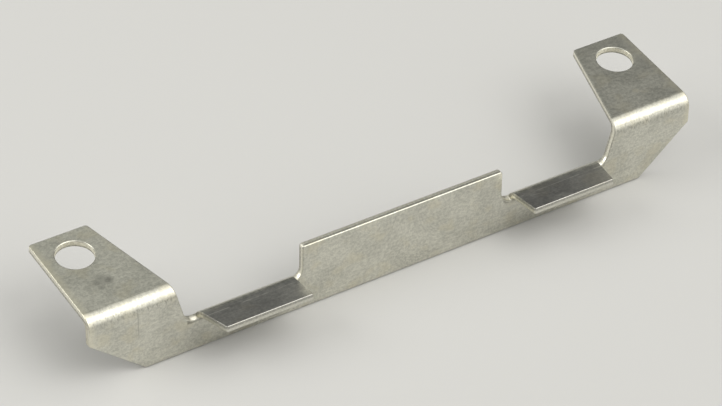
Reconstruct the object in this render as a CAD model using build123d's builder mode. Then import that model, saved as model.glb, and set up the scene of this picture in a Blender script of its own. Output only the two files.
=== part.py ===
from build123d import *
import os
from math import cos, degrees, radians, sin, tan

# Stamped metal bracket: one sheet-steel blank, sheared, pierced and folded.
# Millimetres, +Z up.  X runs along the bracket, Y runs back from the web to the ears' far edges.
# The origin is midway between the two bolt holes, on the ears' underside, where the bracket seats.
# Every length on a flange is measured along the sheet from the outside corner of its fold.

# Sheet and folds.  A slanted shear face is drawn round its bend in shear_steps equal turns.
sheet = 1.2
bend_inside_radius = 1.2
bend_angle = 84.0
neutral_ratio = 0.44
shear_steps = 6

# Web: one straight lower edge, a tall plate in the middle and one at each end
overall_length = 120.0
web_height = 13.6
centre_plate_width = 40.0
centre_plate_height = 12.7
centre_corner_radius = 0.5
end_chamfer_height = 8.5
end_chamfer_run = 10.1

# Ears: folded back from the top of the end plates, one side square and one sheared at a slant
ear_width = 16.1
ear_length = 20.5
ear_shear_angle = 15.0
ear_corner_radius = 0.6
hole_diameter = 6.6
hole_to_side = 5.7
hole_to_far_edge = 5.6

# Tabs: folded forward from the top of the low strips between the plates
tab_height = 7.6
tab_length = 8.1
tab_taper_angle = 11.0
tab_corner_radius = 0.4

# Relief notches beside the tabs.  A floor lies relief_rise above the line where the tab's bend starts,
# and its twist is drawn through relief_steps sections.
relief_radius = 1.8
relief_land = 0.3
relief_rise = 0.86
relief_steps = 6

# Fold geometry that follows from the sheet
bend_outside_radius = bend_inside_radius + sheet
setback = bend_outside_radius * tan(radians(bend_angle / 2))
neutral_radius = bend_inside_radius + neutral_ratio * sheet
bend_allowance = radians(bend_angle) * neutral_radius

# Heights up the web's front, of the lines where the bends start and of the notch floors
ear_foot = web_height - setback
tab_foot = tab_height - setback
relief_floor = tab_foot + relief_rise

# Places along X, on the right-hand half
end_x = overall_length / 2
hole_x = end_x - hole_to_side
centre_x = centre_plate_width / 2

# The slanted shear line is straight on the flat blank, so it crosses the fold as a helix.
ear_slope = tan(radians(ear_shear_angle))
ear_foot_x = end_x - ear_width - ear_slope * bend_allowance / 2
ear_root_x = ear_foot_x + ear_slope * bend_allowance
ear_far_x = ear_root_x + ear_slope * (ear_length - setback)
notch_top_x = ear_foot_x - ear_slope * (ear_foot - relief_floor)
relief_tangent = relief_radius * tan(radians(45 - ear_shear_angle / 2))
outer_relief_top = (
    notch_top_x + relief_tangent * sin(radians(ear_shear_angle)),
    relief_floor + relief_tangent * cos(radians(ear_shear_angle)),
)

# Tab ends: square beside the centre plate, tapered on the outer side from the notch floor up
tab_slope = tan(radians(tab_taper_angle))
tab_inner_x = centre_x + relief_radius + relief_land
tab_foot_x = notch_top_x - relief_radius - relief_land
tab_root_x = tab_foot_x - tab_slope * (bend_allowance - relief_rise)
tab_front_x = tab_root_x - tab_slope * (tab_length - setback)

# Planes.  ear_top lies on the ears with its origin in the outside corner of their fold,
# web_front on the web's front face with its origin on the lower edge, and
# tab_top on the tabs with its origin in the outside corner of their fold.
ear_top = Plane(origin=(0, hole_to_far_edge - ear_length, sheet), x_dir=(1, 0, 0), z_dir=(0, 0, 1))
web_upright = ear_top.rotated((bend_angle, 0, 0))
web_front = Plane(
    origin=web_upright.from_local_coords((0, -web_height, 0)),
    x_dir=(1, 0, 0),
    z_dir=web_upright.z_dir,
)
tab_upright = Plane(
    origin=web_front.from_local_coords((0, tab_height, -sheet)),
    x_dir=(1, 0, 0),
    z_dir=web_front.z_dir,
)
tab_top = tab_upright.rotated((bend_angle - 180, 0, 0))


def folded_strip(foot_height, side, square_x, foot_x, root_x, neck=0.0):
    """The bend of a flange, from foot_height on the web: side 1 folds to the back, -1 to the front.

    One end face is square, at square_x.  The other is at foot_x for a length of neck, is sheared from
    there to root_x, where it meets the flange, and stays square to the sheet all the way round.
    """
    axis_depth = bend_outside_radius if side > 0 else -bend_inside_radius
    axis_plane = Plane(
        origin=web_front.from_local_coords((0, foot_height, -axis_depth)),
        x_dir=(1, 0, 0),
        z_dir=web_front.y_dir,
    )
    middle_radius = bend_inside_radius + sheet / 2
    outward = 1 if foot_x > square_x else -1
    spare = sheet
    with BuildPart() as offcut:
        for step in range(-1, shear_steps + 2):
            share = step / shear_steps
            cut_x = foot_x + share * (root_x - foot_x)
            turned = bend_angle * (neck + share * (bend_allowance - neck)) / bend_allowance
            with BuildSketch(axis_plane.rotated((-side * turned, 0, 0))):
                with Locations((cut_x + outward * spare, -side * middle_radius)):
                    Rectangle(2 * spare, 2 * sheet)
        loft()
    with BuildPart() as strip:
        with BuildSketch(axis_plane):
            with Locations(((square_x + foot_x) / 2, -side * middle_radius)):
                Rectangle(abs(foot_x - square_x), sheet)
        revolve(axis=Axis(axis_plane.origin, (-side, 0, 0)), revolution_arc=bend_angle)
        add(offcut.part, mode=Mode.SUBTRACT)
    return strip.part


def twisted_relief(plate_x, tab_x, edge_angle):
    """The floor of a notch and its fillet, from the line where the tab's bend starts.

    The sheet stands straight where the fillet meets the plate's edge, which leans edge_angle away from
    the notch, and curls over to meet the tab's bend at tab_x.  The sheared face stays square to it.
    """
    towards_plate = 1 if plate_x > tab_x else -1
    arc = 90 - edge_angle
    centre = plate_x - towards_plate * relief_radius * tan(radians(arc / 2))
    places = []
    for step in range(relief_steps + 1):
        angle = radians(arc * (1 - step / relief_steps))
        across = centre + towards_plate * relief_radius * sin(angle)
        places.append((across, relief_rise + relief_radius * (1 - cos(angle))))
    places.append((tab_x, relief_rise))
    start_x = places[0][0]
    with BuildPart() as relief:
        for across, length in places:
            way = (across - start_x) / (tab_x - start_x)
            share = way * way * (3 - 2 * way)
            section = Plane(
                origin=web_front.from_local_coords((across, tab_foot, 0)),
                x_dir=web_front.y_dir,
                z_dir=(1, 0, 0),
            )
            with BuildSketch(section):
                with BuildLine():
                    if share == 0:
                        Polyline((0, 0), (length, 0), (length, -sheet), (0, -sheet), close=True)
                    else:
                        inside = neutral_radius / share - neutral_ratio * sheet
                        turn = degrees(share * length / neutral_radius)
                        front = JernArc((0, 0), (1, 0), inside, turn)
                        back = JernArc((0, -sheet), (1, 0), inside + sheet, turn)
                        Line(front @ 1, back @ 1)
                        Line((0, -sheet), (0, 0))
                make_face()
        loft(ruled=True)
    return relief.part


ear_bend = folded_strip(ear_foot, 1, end_x, ear_foot_x, ear_root_x)
tab_bend = folded_strip(tab_foot, -1, tab_inner_x, tab_foot_x, tab_root_x, relief_rise)
inner_relief = twisted_relief(centre_x, tab_inner_x, 0)
outer_relief = twisted_relief(notch_top_x, tab_foot_x, ear_shear_angle)

with BuildPart() as bracket:
    # Web, right-hand half
    with BuildSketch(web_front) as web_outline:
        with BuildLine():
            Polyline(
                (0, 0),
                (end_x - end_chamfer_run, 0),
                (end_x, end_chamfer_height),
                (end_x, ear_foot),
                (ear_foot_x, ear_foot),
                outer_relief_top,
                (outer_relief_top[0], tab_foot),
                (centre_x, tab_foot),
                (centre_x, centre_plate_height),
                (0, centre_plate_height),
                close=True,
            )
        make_face()
        top_corner = web_outline.vertices().sort_by_distance((centre_x, centre_plate_height))[0]
        fillet(top_corner, centre_corner_radius)
    extrude(amount=-sheet)
    add(inner_relief)
    add(outer_relief)

    # Ear, with its bolt hole
    add(ear_bend)
    with BuildSketch(ear_top) as ear_outline:
        with BuildLine():
            Polyline(
                (end_x, setback),
                (end_x, ear_length),
                (ear_far_x, ear_length),
                (ear_root_x, setback),
                close=True,
            )
        make_face()
        fillet(ear_outline.vertices().group_by(Axis.Y)[-1], ear_corner_radius)
        with Locations((hole_x, ear_length - hole_to_far_edge)):
            Circle(hole_diameter / 2, mode=Mode.SUBTRACT)
    extrude(amount=-sheet)

    # Tab
    add(tab_bend)
    with BuildSketch(tab_top) as tab_outline:
        with BuildLine():
            Polyline(
                (tab_inner_x, -setback),
                (tab_inner_x, -tab_length),
                (tab_front_x, -tab_length),
                (tab_root_x, -setback),
                close=True,
            )
        make_face()
        fillet(tab_outline.vertices().group_by(Axis.Y)[0], tab_corner_radius)
    extrude(amount=-sheet)

    # Left-hand half
    mirror(about=Plane.YZ)

bracket.part.label = "bracket"

os.makedirs("parts", exist_ok=True)
export_step(bracket.part, "parts/bracket.step")
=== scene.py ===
import bmesh
import bpy
from math import atan2, cos, hypot, pi, radians, sin, tan
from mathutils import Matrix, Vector
from mathutils.geometry import intersect_point_line


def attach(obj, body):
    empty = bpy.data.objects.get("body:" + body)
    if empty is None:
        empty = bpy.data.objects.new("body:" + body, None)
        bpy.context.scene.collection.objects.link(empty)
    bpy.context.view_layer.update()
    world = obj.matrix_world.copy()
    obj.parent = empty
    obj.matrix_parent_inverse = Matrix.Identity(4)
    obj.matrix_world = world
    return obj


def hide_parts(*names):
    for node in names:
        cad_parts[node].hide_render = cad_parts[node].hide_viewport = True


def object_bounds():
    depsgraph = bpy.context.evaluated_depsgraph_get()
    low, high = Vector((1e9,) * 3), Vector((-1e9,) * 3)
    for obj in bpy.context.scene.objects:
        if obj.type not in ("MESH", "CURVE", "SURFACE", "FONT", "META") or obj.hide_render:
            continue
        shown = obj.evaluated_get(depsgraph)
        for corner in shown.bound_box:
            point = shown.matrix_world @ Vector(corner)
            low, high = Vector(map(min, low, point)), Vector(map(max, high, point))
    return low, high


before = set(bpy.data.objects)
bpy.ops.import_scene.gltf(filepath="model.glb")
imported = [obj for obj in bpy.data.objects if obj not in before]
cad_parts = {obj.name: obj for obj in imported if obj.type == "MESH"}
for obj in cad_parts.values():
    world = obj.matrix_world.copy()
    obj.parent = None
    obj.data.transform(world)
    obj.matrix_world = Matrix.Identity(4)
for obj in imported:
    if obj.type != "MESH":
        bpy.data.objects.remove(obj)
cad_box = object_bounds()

# ---------------------------------------------------------------------------------------------
# Bracket.  One piece of 1.2 mm cold-rolled steel.  A press shears the blank and pierces its two
# bolt holes, which rolls the rims over on the punch side.  The ears are then folded back and the
# tabs forward, both six degrees short of square.

sheet = 0.0012
fold_inside = 0.0012
fold_outside = fold_inside + sheet
fold_angle = radians(84)
neutral_depth = 0.44 * sheet
fold_neutral = fold_inside + neutral_depth
fold_length = fold_angle * fold_neutral
setback = fold_outside * tan(fold_angle / 2)
web_height = 0.0136
tab_height = 0.0076

# Where the outside corner of the ears' fold lies along Y, and the heights at which the folds start
ear_corner_y = -0.0149
ear_foot = web_height - setback
tab_foot = tab_height - setback

# Each notch beside a tab, from the plate's side to the tab's side, and the middle of a tab
inner_notch = (0.0200, 0.0221)
outer_notch = (0.04254, 0.04008)
mid_tab = 0.031

# Rims that the shear leaves: full width on the punch side, and shares of it on other corners
rim_width = 0.00022
die_side_rim = 0.5
sheared_rim = 0.4
least_corner = radians(30)
clear_of_rim = 1.3 * rim_width

# Merging the solid's triangles into flat faces, and telling the sheet's two skins from its edges
same_place = 1e-6
flat_enough = radians(0.5)
skin_depth = 0.1 * sheet

# Directions up the web and out of its front, the axis of the ears' fold and two points on the web
web_up = Vector((0, cos(fold_angle), sin(fold_angle)))
web_out = Vector((0, -sin(fold_angle), cos(fold_angle)))
ear_fold = Vector((0, ear_corner_y + setback, sheet - fold_outside))
web_foot = ear_fold + fold_outside * web_out - ear_foot * web_up
tab_root = web_foot + tab_foot * web_up


def curl(x):
    """How far the web's upper edge has curled over into a tab: 0 at the plates, 1 all along the tab."""
    plate, tab = inner_notch if abs(x) < mid_tab else outer_notch
    way = min(max((abs(x) - plate) / (tab - plate), 0), 1)
    return way * way * (3 - 2 * way)


def on_blank(point, part):
    """Where a point of the folded bracket lies on the flat blank: along it, up it and through it."""
    if part == "ear":
        return (point.x, ear_foot + fold_length + point.y - ear_fold.y, sheet - point.z)
    if part == "ear fold":
        arm = point - ear_fold
        turned = atan2(arm.dot(web_up), arm.dot(web_out))
        return (point.x, ear_foot + turned * fold_neutral, fold_outside - hypot(arm.y, arm.z))
    arm = point - tab_root
    up, out = arm.dot(web_up), arm.dot(web_out)
    share = curl(point.x)
    if up < 0 or share == 0:
        return (point.x, tab_foot + up, -out)
    inside = fold_neutral / share - neutral_depth
    turned = atan2(up, inside - out)
    if turned < fold_angle:
        return (point.x, tab_foot + turned * fold_neutral / share, hypot(up, inside - out) - inside)
    along = up * cos(fold_angle) + (out - inside) * sin(fold_angle)
    through = up * sin(fold_angle) - (out - inside) * cos(fold_angle)
    return (point.x, tab_foot + fold_length + along, through - inside)


def part_of(centre):
    """Which part of the bracket a face belongs to, from its centre."""
    if centre.y > ear_fold.y:
        return "ear"
    if (centre - ear_fold).dot(web_up) > 0 and centre.z > ear_fold.z:
        return "ear fold"
    return "web"


bracket_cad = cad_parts["bracket"]
blank = bmesh.new()
blank.from_mesh(bracket_cad.data)
bmesh.ops.remove_doubles(blank, verts=blank.verts, dist=same_place)
bmesh.ops.dissolve_limit(blank, angle_limit=flat_enough, verts=blank.verts, edges=blank.edges)

skin = {}
for face in blank.faces:
    part = part_of(face.calc_center_median())
    depths = [on_blank(v.co, part)[2] for v in face.verts]
    if max(depths) < skin_depth:
        skin[face] = "punch side"
    elif min(depths) > sheet - skin_depth:
        skin[face] = "die side"
    else:
        skin[face] = "sheared"

rim = blank.edges.layers.float.new("bevel_weight_edge")
for edge in blank.edges:
    sides = {skin[f] for f in edge.link_faces}
    if edge.calc_face_angle_signed() < least_corner:
        continue
    if sides == {"punch side", "sheared"}:
        edge[rim] = 1.0
    elif sides == {"die side", "sheared"}:
        edge[rim] = die_side_rim
    elif sides == {"sheared"}:
        edge[rim] = sheared_rim


def gap(vert, edge):
    """The distance from a vertex to an edge."""
    start, end = edge.verts[0].co, edge.verts[1].co
    share = intersect_point_line(vert.co, start, end)[1]
    return (start.lerp(end, min(max(share, 0), 1)) - vert.co).length


# The rolled rims need clear sheet beside them, so the corners that crowd them in the notches go.
rims = [edge for edge in blank.edges if edge[rim] > 0]
on_rim = {vert for edge in rims for vert in edge.verts}
in_notch = [vert for vert in blank.verts if curl(vert.co.x) > 0 and vert not in on_rim]
crowding = [vert for vert in in_notch if min(gap(vert, edge) for edge in rims) < clear_of_rim]
bmesh.ops.dissolve_verts(blank, verts=crowding)

mesh = bpy.data.meshes.new("steel_bracket")
blank.to_mesh(mesh)
blank.free()
bracket = bpy.data.objects.new("steel_bracket", mesh)
bpy.context.scene.collection.objects.link(bracket)

rounding = bracket.modifiers.new("rolled rims", "BEVEL")
rounding.limit_method = "WEIGHT"
rounding.width = rim_width
rounding.segments = 3
rounding.use_clamp_overlap = False
rounding.loop_slide = False
evaluated = bracket.evaluated_get(bpy.context.evaluated_depsgraph_get())
shaped = bpy.data.meshes.new_from_object(evaluated)
bracket.modifiers.clear()
bracket.data = shaped
shaped.name = "steel_bracket"
shaped.shade_smooth()

# Where each corner lies on the flat blank, in millimetres, for the finish to follow round the folds
place = shaped.attributes.new("blank", "FLOAT_VECTOR", "CORNER")
for face in shaped.polygons:
    part = part_of(face.center)
    for corner in face.loop_indices:
        point = shaped.vertices[shaped.loops[corner].vertex_index].co
        place.data[corner].vector = [1000 * distance for distance in on_blank(point, part)]

flat = bracket.modifiers.new("flat faces", "WEIGHTED_NORMAL")
flat.mode = "FACE_AREA"
flat.weight = 100

# The finish.  Mill-rolled skin, clouded and speckled, with lines along the rolling direction.  The
# sheared faces are burnished next to the punch side and torn grey next to the die side.  Its places
# and widths are in millimetres on the flat blank.
steel = bpy.data.materials.new("sheet_steel")
steel.use_nodes = True
nodes, links = steel.node_tree.nodes, steel.node_tree.links
shader = nodes["Principled BSDF"]
shader.inputs["Metallic"].default_value = 1.0


def add(kind, inputs, output=0, **settings):
    """Adds a node; each input is a number, a colour or another node's output.  Returns an output."""
    made = nodes.new("ShaderNode" + kind)
    for name, value in settings.items():
        setattr(made, name, value)
    for name, value in inputs.items():
        if isinstance(value, bpy.types.NodeSocket):
            links.new(value, made.inputs[name])
        else:
            made.inputs[name].default_value = value
    return made.outputs[output]


def work_out(operation, first, second):
    """One step of arithmetic between two masks or numbers."""
    return add("Math", {0: first, 1: second}, operation=operation)


def total(*values):
    """Masks or numbers added together."""
    result = values[0]
    for value in values[1:]:
        result = work_out("ADD", result, value)
    return result


def times(*values):
    """Masks or numbers multiplied together."""
    result = values[0]
    for value in values[1:]:
        result = work_out("MULTIPLY", result, value)
    return result


def ramp(value, start, end):
    """0 up to start, 1 from end on, and smooth between them."""
    inputs = {"Value": value, "From Min": start, "From Max": end}
    return add("MapRange", inputs, interpolation_type="SMOOTHSTEP")


def band(value, start, end, soft):
    """1 from start to end, and smooth down to 0 over the soft width beyond either."""
    return times(ramp(value, start - soft, start), ramp(value, end + soft, end))


def cloud(stretch, detail=2.0, low=0.38, high=0.62):
    """A noise on the flat blank from 0 to 1, with stretch in cells to the millimetre."""
    placed = add("Mapping", {"Vector": on_sheet, "Scale": stretch})
    grey = add("TexNoise", {"Vector": placed, "Scale": 1.0, "Detail": detail})
    return ramp(grey, low, high)


def blend(share, first, second):
    """The first colour, with the second laid over it in the given share."""
    return add("Mix", {0: share, 6: first, 7: second}, output=2, data_type="RGBA")


def spot(place, along_at, up_at, inner, outer):
    """A soft round spot on the blank, with its place along the blank measured as given."""
    across = work_out("SUBTRACT", place, along_at)
    upward = work_out("SUBTRACT", up, up_at)
    square = work_out("ADD", times(across, across), times(upward, upward))
    return ramp(work_out("SQRT", square, 0.0), outer, inner)


blank_place = nodes.new("ShaderNodeAttribute")
blank_place.attribute_name = "blank"
on_sheet = blank_place.outputs["Vector"]
split = nodes.new("ShaderNodeSeparateXYZ")
links.new(on_sheet, split.inputs[0])
along, up, through = split.outputs
from_middle = work_out("ABSOLUTE", along, 0.0)

# Where the parts of the bracket lie
on_ear = ramp(from_middle, 42.0, 43.0)
# The right ear, darkened below as painted shade
right_ear_painted_shade = times(ramp(along, 42.0, 43.0), ramp(up, 13.6, 14.6))
on_tab = times(band(from_middle, 22.3, 40.0, 0.3), ramp(up, 8.0, 8.2))
on_shear = band(through, 0.16, 1.06, 0.06)
on_fold = times(on_ear, band(up, 11.5, 13.2, 0.5))
fold_start = times(on_ear, band(up, 11.7, 12.4, 0.5))
# The ears' outer ends, made paler below as a painted highlight
ear_end_painted_highlight = times(on_ear, ramp(from_middle, 58.2, 59.9))
hole_wall = spot(from_middle, 54.3, 26.71, 3.5, 3.7)

# The sheet's own texture: broad to fine, then what rolling, handling, folding and shearing leave

patches = cloud((0.17, 0.20, 0.2))
speckle = cloud((1.5, 1.7, 1.0))
grain = cloud((3.1, 3.3, 1.0), detail=1.0)
rolled = cloud((0.12, 2.6, 1.0), detail=1.0)
stain = cloud((0.24, 0.28, 0.2), low=0.50, high=0.68)
drawn = cloud((3.0, 0.45, 1.0), detail=1.0)
pits = cloud((3.2, 1.9, 1.0), detail=1.0, low=0.52, high=0.66)
scored = cloud((2.6, 2.6, 0.3), detail=1.0)

# The skin: a grey ground with paler steel clouded over it
rolled_share = total(0.12, times(on_tab, 0.14))
rolled_lines = times(work_out("SUBTRACT", rolled, 0.5), rolled_share)
skin_tone = total(times(patches, 0.26), times(speckle, 0.34), times(grain, 0.28), rolled_lines)
colour = blend(skin_tone, (0.490, 0.486, 0.430, 1), (0.760, 0.750, 0.665, 1))

# A soft smudge on the left ear, from a few overlapping spots, and one pale rubbed spot on the right
smudge = 0.0
for along_at, up_at, inner, outer, strength in (
    (-52.4, 19.1, 0.2, 1.3, 0.75),
    (-53.3, 19.9, 0.1, 1.5, 0.50),
    (-54.4, 19.3, 0.1, 1.2, 0.55),
    (-54.2, 17.9, 0.1, 0.7, 0.50),
    (-56.3, 18.9, 0.1, 0.9, 0.28),
):
    smudge = work_out("MAXIMUM", smudge, times(spot(along, along_at, up_at, inner, outer), strength))
smudge = times(smudge, total(0.62, times(speckle, 0.38)))
rubbed_spot = spot(along, 52.5, 17.9, 0.3, 0.9)

# The line that the wiping die leaves beside each tab's fold, and two fine scratches
die_gaps = cloud((0.5, 0.5, 0.5), low=0.42, high=0.55)
die_line = times(on_tab, band(up, 9.10, 9.25, 0.08), die_gaps)
plate_scratch = times(band(along, -51.12, -51.02, 0.08), band(up, 8.0, 11.5, 1.2))
tab_slant = work_out("SUBTRACT", up, times(along, 0.22))
tab_scratch = times(on_tab, band(tab_slant, 4.60, 4.66, 0.06), band(along, 24.2, 26.6, 0.4))

# Stains, marks and painted light on the skin, each with how strongly it shows and its colour
for mark, strength, tint in (
    (stain, 0.30, (0.68, 0.63, 0.47, 1)),
    # Painted highlight: a paler cream towards the ears' outer ends
    (ear_end_painted_highlight, 0.5, (0.82, 0.78, 0.62, 1)),
    (times(fold_start, pits), 0.38, (0.22, 0.21, 0.18, 1)),
    (smudge, 1.0, (0.20, 0.20, 0.18, 1)),
    (rubbed_spot, 0.45, (0.86, 0.80, 0.64, 1)),
    # Painted shade: the right ear is darkened overall
    (right_ear_painted_shade, 0.26, (0.32, 0.32, 0.295, 1)),
    # Painted shade: the tabs are darkened to a bluish grey
    (on_tab, 0.30, (0.28, 0.28, 0.33, 1)),
    (die_line, 0.55, (0.90, 0.89, 0.82, 1)),
    (plate_scratch, 0.5, (0.30, 0.29, 0.25, 1)),
    (tab_scratch, 0.6, (0.90, 0.89, 0.82, 1)),
):
    colour = blend(times(mark, strength), colour, tint)

# The sheared faces: burnished from the punch side to an uneven line, and torn beyond it.  The line
# lies deeper in the holes, and the tabs' edges are darkened as painted shade.
tear_line = total(through, times(scored, 0.12), times(hole_wall, -0.22))
torn = ramp(tear_line, 0.56, 0.90)
burnished_colour = blend(scored, (0.80, 0.78, 0.67, 1), (0.93, 0.91, 0.81, 1))
torn_colour = blend(grain, (0.40, 0.39, 0.345, 1), (0.56, 0.545, 0.48, 1))
edge_colour = blend(torn, burnished_colour, torn_colour)
# Painted shade: the tabs' sheared edges are darkened towards grey
edge_colour = blend(times(on_tab, 0.45), edge_colour, (0.36, 0.36, 0.34, 1))
links.new(blend(on_shear, colour, edge_colour), shader.inputs["Base Color"])

# Roughness: even on the skin, more where the fold was drawn over the die and where it is smudged
fold_rough = times(on_fold, drawn, 0.12)
skin_rough = total(0.30, times(speckle, 0.035), times(patches, 0.03), fold_rough, times(smudge, 0.12))
edge_rough = total(0.40, times(torn, 0.15), times(hole_wall, 0.30))
rough = add("Mix", {0: on_shear, 2: skin_rough, 3: edge_rough})
links.new(rough, shader.inputs["Roughness"])

# Relief: faint waves in the skin, and the scored and torn edges
waves = cloud((0.8, 1.1, 1.0), detail=1.0, low=0.2, high=0.8)
relief = total(waves, times(on_fold, drawn, 0.35))
edge_relief = total(times(scored, 0.5), times(torn, waves, 1.5))
height = add("Mix", {0: on_shear, 2: relief, 3: edge_relief})
bump = nodes.new("ShaderNodeBump")
bump.inputs["Strength"].default_value = 0.4
bump.inputs["Distance"].default_value = 0.00002
links.new(height, bump.inputs["Height"])
links.new(bump.outputs["Normal"], shader.inputs["Normal"])

shaped.materials.clear()
shaped.materials.append(steel)
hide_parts("bracket")
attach(bracket, "root")

# ---------------------------------------------------------------------------------------------
# Floor.  A plain studio board, painted a matt pale grey, just under the web's lower edge.  Far out it
# sweeps up to a low rim, so that a level view has the same board behind the bracket.

floor_radius = 3.0
floor_sides = 96
sweep_radius = 0.35
sweep_steps = 8
under_web = 0.0001

floor_mesh = bpy.data.meshes.new("floor")
board = bmesh.new()
bmesh.ops.create_circle(board, cap_ends=True, segments=floor_sides, radius=floor_radius)
ring = list(board.edges)
reached = floor_radius
height_reached = 0.0
for step in range(1, sweep_steps + 1):
    angle = radians(90) * step / sweep_steps
    radius = floor_radius + sweep_radius * sin(angle)
    height = sweep_radius * (1 - cos(angle))
    grown = bmesh.ops.extrude_edge_only(board, edges=ring)["geom"]
    verts = [part for part in grown if isinstance(part, bmesh.types.BMVert)]
    ring = [part for part in grown if isinstance(part, bmesh.types.BMEdge)]
    ring = [edge for edge in ring if all(vert in verts for vert in edge.verts)]
    bmesh.ops.scale(board, verts=verts, vec=(radius / reached, radius / reached, 1))
    bmesh.ops.translate(board, verts=verts, vec=(0, 0, height - height_reached))
    reached = radius
    height_reached = height
bmesh.ops.translate(board, verts=board.verts, vec=(0, 0, cad_box[0].z - under_web))
board.to_mesh(floor_mesh)
board.free()
floor_mesh.shade_smooth()
floor = bpy.data.objects.new("floor", floor_mesh)
bpy.context.scene.collection.objects.link(floor)
paint = bpy.data.materials.new("floor_paint")
paint.use_nodes = True
paint_shader = paint.node_tree.nodes["Principled BSDF"]
paint_shader.inputs["Base Color"].default_value = (0.57, 0.57, 0.567, 1)
paint_shader.inputs["Roughness"].default_value = 0.9
floor_mesh.materials.append(paint)

# ---------------------------------------------------------------------------------------------
# Light.  Two round softboxes, high on the front right and low on the left, in a dim room with a
# broad soft glow over the front and a warm white ceiling panel behind.

warm_white = (1.0, 0.985, 0.945)

# Each softbox's name, direction from the bracket, distance, radius and brightness.  Its power is
# its brightness times pi times its area.
for name, towards, distance, radius, brightness in (
    ("key_softbox", (0.36, -0.45, 0.80), 1.4, 0.5, 2.0),
    ("left_softbox", (-0.75, 0.30, 0.55), 1.2, 0.45, 3.0),
):
    towards = Vector(towards).normalized()
    light = bpy.data.lights.new(name, "AREA")
    light.shape = "DISK"
    light.size = 2 * radius
    light.energy = brightness * pi * (pi * radius ** 2)
    light.color = warm_white
    softbox = bpy.data.objects.new(name, light)
    softbox.location = distance * towards
    softbox.rotation_euler = (-towards).to_track_quat("-Z", "Y").to_euler()
    bpy.context.scene.collection.objects.link(softbox)

room = bpy.data.worlds.new("room")
bpy.context.scene.world = room
room.use_nodes = True
sky, wires = room.node_tree.nodes, room.node_tree.links
direction = sky.new("ShaderNodeTexCoord").outputs["Generated"]


def panel(towards, inner, outer):
    """A round patch of the room: 1 within the inner angle of a direction, in degrees, 0 past the outer."""
    facing = sky.new("ShaderNodeVectorMath")
    facing.operation = "DOT_PRODUCT"
    facing.inputs[1].default_value = Vector(towards).normalized()
    patch = sky.new("ShaderNodeMapRange")
    patch.interpolation_type = "SMOOTHSTEP"
    patch.inputs["From Min"].default_value = cos(radians(outer))
    patch.inputs["From Max"].default_value = cos(radians(inner))
    wires.new(direction, facing.inputs[0])
    wires.new(facing.outputs["Value"], patch.inputs["Value"])
    return patch.outputs["Result"]


ceiling = sky.new("ShaderNodeMix")
ceiling.data_type = "RGBA"
ceiling.inputs[6].default_value = (0.045, 0.045, 0.050, 1)
ceiling.inputs[7].default_value = (0.52, 0.525, 0.49, 1)
wires.new(panel((-0.22, 0.42, 0.88), 36, 56), ceiling.inputs[0])
front = sky.new("ShaderNodeMix")
front.data_type = "RGBA"
front.inputs[7].default_value = (1.39, 1.37, 1.30, 1)
wires.new(ceiling.outputs[2], front.inputs[6])
wires.new(panel((0.40, -0.45, 0.80), 36, 60), front.inputs[0])
wires.new(front.outputs[2], sky["Background"].inputs["Color"])

# ---------------------------------------------------------------------------------------------
# Camera.  A long lens above the left front, looking down along the web.

lens = bpy.data.cameras.new("camera")
lens.sensor_width = 36.0
lens.lens = 155.9
lens.shift_x = -0.00849
lens.shift_y = -0.00114
lens.clip_start = 0.01
camera = bpy.data.objects.new("camera", lens)
camera.location = (-0.235907, -0.325468, 0.348140)
camera.rotation_euler = (radians(48.1773), radians(-4.2258), radians(-32.5234))
bpy.context.scene.collection.objects.link(camera)
bpy.context.scene.camera = camera
bpy.context.scene.view_settings.view_transform = "Standard"
